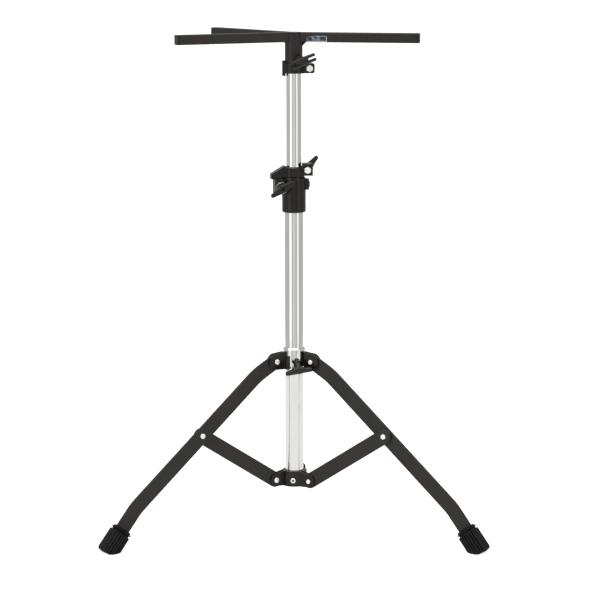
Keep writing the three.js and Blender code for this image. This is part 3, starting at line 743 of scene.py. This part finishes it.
# ---- leg collar ------------------------------------------------------------------------------
def build_collar():
    r, bore, bottom, top, start, up = 18.2, 15.45, 273.5, 304, 24.75, 279
    reach = start / math.cos(math.radians(COLLAR_WING_TILT))
    lean = [turn("Y", 90), shift(-reach, 0, 0), turn("Y", -COLLAR_WING_TILT), shift(start, 0, up),
            turn("Z", COLLAR_WING_AZIMUTH)]
    body = lathe([(bore - 0.5, bottom), (r - 0.6, bottom), (r, bottom + 0.6), (r, top - 2),
                  (r - 1.4, top), (bore - 0.5, top)])
    hole = moved(disc(3.2, 0, reach + 3, 48), *lean)
    casting("leg_collar", [body], [disc(bore, bottom - 5, top + 5), hole], CHROME, 0.4, 5)
    end = reach - GAP
    boss_r, taper, boss_end, boss_top = 8.4, 24.2, 5.2, 285.5
    cone = lathe([(0, 14), (boss_r, 14), (boss_r, taper), (boss_end, end), (0, end)], 96)
    cone = moved(cone, *lean)
    flat = around(block(0, reach, -20, 20, boss_top, top + 5), COLLAR_WING_AZIMUTH)
    casting("collar_boss", [cone], [disc(r + GAP, 0, top + 5), flat, hole], CAST, 0.4, 3)

    thick, web, round_r = 3, 3, 13.5
    inner, half = r + GAP, BAR_THICK / 2 + GAP
    outer, reach = inner + web, half + thick
    low, high = TOP_PIVOT[1] - round_r, TOP_PIVOT[1] + round_r + 2
    upright = Matrix(((1, 0, 0, 0), (0, 0, 1, 0), (0, 1, 0, 0), (0, 0, 0, 1)))
    for side, azimuth in LEG_AZIMUTHS.items():
        solids = []
        for sign in (-1, 1):
            end = arc(TOP_PIVOT, round_r, -math.pi / 2, math.pi / 2, 28)
            y = LEG_OFFSET + sign * (half + thick / 2)
            solids.append(prism([(inner, low), *end, (inner, high)], y - thick / 2, y + thick / 2))
        solids.append(block(inner, outer, LEG_OFFSET - reach, LEG_OFFSET + reach, low, high))
        wrap = [*arc((0, 0), outer, math.radians(10), math.radians(36)),
                *arc((0, 0), inner, math.radians(36), math.radians(10))]
        solids.append(moved(prism(wrap, low, high - 7), upright))
        face, mitre, mitre_reach = LEG_OFFSET - reach, -1, 22
        corner = [(web, mitre), (inner, mitre), (mitre_reach, face), (mitre_reach, face - 20),
                  (web, face - 20)]
        holes = [disc(inner, low - 1, high + 5), across(disc(3.2, -30, 30, 48), *TOP_PIVOT),
                 moved(prism(corner, low - 5, high + 5), upright)]
        casting(f"leg_bracket_{side}", [around(s, azimuth) for s in solids],
                [around(h, azimuth) for h in holes], CAST, 0.45, 3)

    lay = [turn("Y", -COLLAR_WING_TILT), shift(start, 0, up), turn("Z", COLLAR_WING_AZIMUTH)]
    wing("collar_wing_screw", WING_ROLL["collar"], lay, hub=6.2, stud=9.8)


# ---- receiver --------------------------------------------------------------------------------
def build_receiver():
    r, bore, bottom, top = 19.4, 15.4, 528, 585
    along, up, half, washer_thick = 22.3, 569, 15, 1.4
    shell = lathe([(bore - 1, bottom), (r - 1.6, bottom), (r, bottom + 1.6), (r, top - 1), (r - 1, top),
                   (bore - 1, top)])
    lug = around(block(bore, 33, -half, half, 558.5, 582.5), RECEIVER_AZIMUTH)
    rib = block(bore, 24.6, -6, 6, 565, 583)
    boss = outward(disc(5, bore, 26, 48), 574)
    slot = around(block(0, 38, -1.2, 1.2, top - 36, top + 5), RECEIVER_AZIMUTH)
    hole = around(across(disc(3.3, -20, 20, 48), along, up), RECEIVER_AZIMUTH)
    cuts = [disc(bore, bottom - 5, top + 5), slot, hole]
    casting("receiver_casting", [shell, lug, rib, boss], cuts, CAST, 0.45, 4)
    hex_bolt("receiver_bolt", RECEIVER_AZIMUTH, half, 11.3, along, up)
    washer = ring(3.4, 9.6, half + GAP, half + washer_thick + GAP, 64)
    plain("receiver_washer", around(across(washer, along, up), RECEIVER_AZIMUTH), CHROME, 0.3)
    seat = half + 2 * GAP + washer_thick
    lay = [turn("Z", 90), shift(along, seat, up), turn("Z", RECEIVER_AZIMUTH)]
    wing("receiver_wing_nut", WING_ROLL["receiver"], lay)


# ---- memory lock -----------------------------------------------------------------------------
def build_memory_lock():
    r, bore, bottom, top = 17.6, 12.6, 585.5, 602.5
    along, up, half = 22.6, 597.8, 12
    key = prism([(14, bottom), (20.2, bottom), (20.2, 583.1), (38.5, 583.1), (38.5, 591), (17, 604),
                 (14, 604)], -10, 10)
    jaws = block(13, 31, -half, half, 588.5, 608)
    rib = around(block(13, 20, -5.3, 5.3, 586.7, 601.3), 270)
    body = lathe([(bore - 1, bottom), (r, bottom), (r, top - 1.5), (r - 1.5, top), (bore - 1, top)])
    cuts = [disc(bore, bottom - 10, top + 10), block(0, 35, -1.2, 1.2, bottom - 5, 613),
            across(disc(3.3, -20, 20, 48), along, up)]
    casting("memory_lock_ring", [body, around(key, RECEIVER_AZIMUTH), jaws, rib], cuts, CAST, 0.45, 4)
    hex_bolt("memory_lock_bolt", 0, half, 9.9, along, up)
    lay = [turn("Z", 90), shift(along, half + GAP, up)]
    wing("memory_lock_wing_nut", WING_ROLL["lock"], lay, span=25)


# ---- top frame -------------------------------------------------------------------------------
def square_ring(half, corner, steps=5):
    points = []
    for k, (sx, sy) in enumerate(((1, 1), (-1, 1), (-1, -1), (1, -1))):
        centre = (sx * (half - corner), sy * (half - corner))
        start = math.pi / 2 * k
        points += arc(centre, corner, start, start + math.pi / 2, steps)
    return points


def square_tube(x0, x1, half, wall, middle):
    """Square tube along +X with rounded corners, open at both ends."""
    rings, vertices = [], []
    inner = half - wall
    for x, size, corner in ((x0, half, 2.0), (x1, half, 2.0), (x1, inner, 0.8), (x0, inner, 0.8)):
        points = square_ring(size, corner)
        rings.append(range(len(vertices), len(vertices) + len(points)))
        vertices += [(x, y, middle + z) for y, z in points]
    faces = []
    n = len(rings[0])
    for low, high in zip(rings, [*rings[1:], rings[0]]):
        faces += [[low[k], low[(k + 1) % n], high[(k + 1) % n], high[k]] for k in range(n)]
    return vertices, faces


def square_plug(x0, x1, half, corner, middle):
    """Square plug along +X whose outer end is slightly domed."""
    levels = [(x0, 0), (x1 - 0.9, 0), (x1 - 0.4, 0.25), (x1 - 0.1, 0.7), (x1, 1.4), (x1 + 0.005, 4)]
    vertices, rings = [], []
    for x, inset in levels:
        points = square_ring(half - inset, max(0.3, corner - inset * 0.5))
        rings.append(range(len(vertices), len(vertices) + len(points)))
        vertices += [(x, y, middle + z) for y, z in points]
    faces = [list(rings[0]), list(rings[-1])]
    n = len(rings[0])
    for low, high in zip(rings, rings[1:]):
        faces += [[low[k], low[(k + 1) % n], high[(k + 1) % n], high[k]] for k in range(n)]
    return vertices, faces


def weld_bead(sleeve_r, half, middle):
    """Rippled fillet weld round a square tube where it meets a round sleeve, flush on top."""
    path = []
    for y, z in square_ring(half + 0.3, 2.2, 8):
        depth = math.sqrt(max(1.0, sleeve_r ** 2 - min(abs(y), sleeve_r - 1) ** 2))
        path.append(Vector((depth + 0.2, y, z)))
    dense = []
    for a, b in zip(path, path[1:] + path[:1]):
        count = max(1, int((b - a).length / 0.5))
        dense += [a.lerp(b, k / count) for k in range(count)]
    vertices, rings, travelled = [], [], 0.0
    sides = 12
    for i, p in enumerate(dense):
        ahead, behind = dense[(i + 1) % len(dense)], dense[i - 1]
        along = (ahead - behind).normalized()
        travelled += (p - behind).length
        r = 1.0 + 0.14 * math.sin(travelled * 2 * math.pi / 1.7)
        side = along.cross(Vector((1, 0, 0))).normalized()
        up = along.cross(side).normalized()
        rings.append(range(len(vertices), len(vertices) + sides))
        for k in range(sides):
            a = 2 * math.pi * k / sides
            q = p + side * (r * math.cos(a)) + up * (r * math.sin(a))
            vertices.append((q.x, q.y, middle + min(q.z, half - 0.05)))
    faces = []
    for low, high in zip(rings, [*rings[1:], rings[0]]):
        faces += [[low[k], low[(k + 1) % sides], high[(k + 1) % sides], high[k]] for k in range(sides)]
    return vertices, faces


def build_arms():
    half, wall, length, top, sleeve_r = 8, 1.5, 206.5, STAND_TOP, 14.4
    middle, cap = top - half, 2.6
    end = length - cap - GAP
    for side, azimuth in ARM_AZIMUTHS.items():
        tube = square_tube(sleeve_r - 1.5, end, half, wall, middle)
        plain(f"arm_{side}", around(tube, azimuth), PAINT, 0)
        plug = joined(square_plug(length - cap, length, half, 2.0, middle),
                      square_plug(end - 12, length - 1, half - wall - GAP, 0.6, middle))
        plain(f"arm_cap_{side}", around(plug, azimuth), PLASTIC, 0)
        bead = make_object(f"weld_{side}", around(weld_bead(sleeve_r, half, middle), azimuth))
        finish_piece(bead, f"arm_{side}", PAINT, replaces=False, sharp=70)
    under, root = top - 2 * half, sleeve_r - 1
    gusset = prism([(root, under), (sleeve_r + 6.2, under), (root, under - 7.5)], -1.8, 1.8)
    obj = make_object("weld_gusset", around(gusset, ARM_AZIMUTHS["right"]))
    soften(obj, 0.8)
    finish_piece(obj, "arm_right", PAINT, replaces=False)


def build_label():
    """Plain bordered strip on the side of the right arm, with no wording."""
    look = Look("label", (0.2, 0.24, 0.3), 0.0, 0.35)
    patches = look.shade(look.noise(150, 2), 0.42, 0.6, ((0.016, 0.018, 0.022), (0.13, 0.16, 0.20)))
    look.colour(patches)
    look.rough(look.spread(look.noise(300, 2), 0.3, 0.7, 0.28, 0.4))
    border = Look("label_border", (0.62, 0.63, 0.64), 0.0, 0.35)
    border.colour(border.shade(border.noise(200, 3), 0.35, 0.7, ((0.5, 0.51, 0.52), (0.7, 0.71, 0.72))))
    x0, x1, z0, z1, face = 23, 56, 805.9, 815.2, -8.0
    sheet = block(x0, x1, face - 0.14, face + 0.02, z0, z1)
    strip = make_object("arm_label", around(sheet, ARM_AZIMUTHS["right"]))
    strip.data.materials.append(look.material)
    line = 0.8
    frame_bars = [block(x0, x1, face - 0.2, face - 0.1, z0, z0 + line),
                  block(x0 + 14, x1, face - 0.2, face - 0.1, z1 - line / 2, z1),
                  block(x1 - line, x1, face - 0.2, face - 0.1, z0, z1)]
    edge = make_object("arm_label_border", around(joined(*frame_bars), ARM_AZIMUTHS["right"]))
    edge.data.materials.append(border.material)
    for piece in (strip, edge):
        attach(piece, BODY_OF["arm_right"])


def build_top_hub():
    low, high = (c.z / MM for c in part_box("hub_sleeve"))
    hole = around(outward(disc(3.3, 0, 24, 48), CLAMP_SCREW_UP), CLAMP_AZIMUTH)
    plain("hub_sleeve", lathe(tube_profile(12.75, 14.4, low, high), 128), PAINT, 0, hole)
    stem, top = high - 5, STAND_TOP
    cap = lathe([(0, stem), (12.3, stem), (12.3, high + GAP), (14.4, high + GAP), (14.4, top - 0.8),
                 (13.6, top), (0, top)], 96)
    plain("sleeve_cap", cap, PLASTIC, 0.3)


def build_top_clamp():
    r, bore, bottom, top, up = 17.9, 14.8, 754.5, 771, 762.6
    along, half = 26, 8.5
    ear = [(14, up - 7.9), *arc((30.5, up - 4.4), 3.5, -math.pi / 2, 0, 8),
           *arc((30.5, up + 4.4), 3.5, 0, math.pi / 2, 8), (14, up + 7.9)]
    boss = around(outward(disc(6.5, 13.8, 21, 64), CLAMP_SCREW_UP), CLAMP_AZIMUTH)
    solids = [ring(bore - 1, r, bottom, top), prism(ear, -half, half),
              block(-18.8, -12.4, -7, 7, 750.2, 774.8), boss]
    cuts = [disc(bore, bottom - 10, 800), block(0, 46, -1.2, 1.2, bottom - 5, top + 10),
            across(disc(3.3, -20, 20, 48), along, up),
            around(outward(disc(3.3, 0, 26, 48), CLAMP_SCREW_UP), CLAMP_AZIMUTH)]
    casting("top_clamp", solids, cuts, CAST, 0.4, 4)
    hex_bolt("top_clamp_bolt", 0, half, 6.3, along, up)
    nut = across(moved(hexagon(5, 0, 5), shift(0, 0, half + GAP)), along, up)
    plain("top_clamp_nut", nut, ZINC, 0.12, across(disc(3.0, 0, 20, 40), along, up))
    lay = [shift(21.4, 0, CLAMP_SCREW_UP), turn("Z", CLAMP_AZIMUTH)]
    wing("top_wing_screw", WING_ROLL["top"], lay, forked=True, stud=8.9)


# ---- stage, light and camera -----------------------------------------------------------------
def stage_plane(name, size, place, rotation, colour, emission=0.0):
    mesh = bpy.data.meshes.new(name)
    w, h = size[0] / 2, size[1] / 2
    mesh.from_pydata([(-w, -h, 0), (w, -h, 0), (w, h, 0), (-w, h, 0)], [], [(0, 1, 2, 3)])
    obj = bpy.data.objects.new(name, mesh)
    obj.location, obj.rotation_euler = place, rotation
    bpy.context.scene.collection.objects.link(obj)
    material = bpy.data.materials.new(name)
    material.use_nodes = True
    shader = material.node_tree.nodes["Principled BSDF"]
    shader.inputs["Base Color"].default_value = (*colour, 1)
    shader.inputs["Roughness"].default_value = 0.9
    shader.inputs["Specular IOR Level"].default_value = 0.0
    if emission:
        shader.inputs["Emission Color"].default_value = (1, 1, 1, 1)
        shader.inputs["Emission Strength"].default_value = emission
    mesh.materials.append(material)
    return obj


def build_stage():
    far = stage_plane("floor", (120, 120), (0, 0, 0), (0, 0, 0), (0.4, 0.4, 0.4), 0.8)
    far.visible_glossy = False
    paper = stage_plane("floor_paper", (2.9, 2.9), (0, MAST_Y * MM, 0.0002), (0, 0, 0), (0.66, 0.66, 0.655))
    paper.visible_camera = paper.visible_diffuse = paper.visible_shadow = False
    panels = [("front_left", 224.5, 2.6, 1.3, 1.35), ("front_right", 318.5, 2.6, 1.0, 1.15),
              ("back_left", 133, 2.6, 0.95, 1.3), ("back_right", 47, 2.6, 0.95, 1.3),
              ("ahead", 270, 5.6, 3.4, 0.7)]
    for name, azimuth, distance, width, strength in panels:
        a = math.radians(azimuth)
        place = (distance * math.cos(a), MAST_Y * MM + distance * math.sin(a), 0.8)
        facing = (math.pi / 2, 0, a + math.pi / 2)
        panel = stage_plane("softbox_" + name, (width, 4.2), place, facing, (0, 0, 0), strength)
        panel.visible_camera = panel.visible_shadow = False
        panel.visible_glossy = not name.startswith("back")


def build_light():
    sun = bpy.data.lights.new("overhead", "SUN")
    sun.energy, sun.angle = 2.6, math.radians(75)
    lamp = bpy.data.objects.new("overhead", sun)
    lamp.rotation_euler = (math.radians(14), math.radians(-8), 0)
    bpy.context.scene.collection.objects.link(lamp)
    world = bpy.data.worlds.new("studio")
    bpy.context.scene.world = world
    world.use_nodes = True
    nodes, links = world.node_tree.nodes, world.node_tree.links
    room = nodes["Background"]
    room.inputs["Color"].default_value = (0.52, 0.522, 0.518, 1)
    backdrop = nodes.new("ShaderNodeBackground")
    backdrop.inputs["Color"].default_value = (1, 1, 1, 1)
    seen, mix = nodes.new("ShaderNodeLightPath"), nodes.new("ShaderNodeMixShader")
    links.new(seen.outputs["Is Camera Ray"], mix.inputs["Fac"])
    links.new(room.outputs[0], mix.inputs[1])
    links.new(backdrop.outputs[0], mix.inputs[2])
    links.new(mix.outputs[0], nodes["World Output"].inputs["Surface"])
    bpy.context.scene.view_settings.view_transform = "Standard"


def build_camera():
    """Long lens in front of the stand, a little above its top and looking slightly down."""
    data = bpy.data.cameras.new("camera")
    data.sensor_width, data.lens = 36, 161.5
    camera = bpy.data.objects.new("camera", data)
    yaw, pitch, roll = math.radians(0.057), math.radians(8.67), math.radians(-0.082)
    ahead = Vector((math.sin(yaw) * math.cos(pitch), math.cos(yaw) * math.cos(pitch), -math.sin(pitch)))
    right = Vector((math.cos(yaw), -math.sin(yaw), 0))
    up = right.cross(ahead)
    turned_right = right * math.cos(roll) + up * math.sin(roll)
    turned_up = up * math.cos(roll) - right * math.sin(roll)
    axes = Matrix((turned_right, turned_up, -ahead)).transposed().to_4x4()
    camera.matrix_world = Matrix.Translation((0.0053, -4.453, 1.0486)) @ axes
    bpy.context.scene.collection.objects.link(camera)
    bpy.context.scene.camera = camera


build_camera()
build_stage()
build_light()
build_tubes()
build_lower_hub()
build_legs()
build_collar()
build_receiver()
build_memory_lock()
build_arms()
build_label()
build_top_hub()
build_top_clamp()
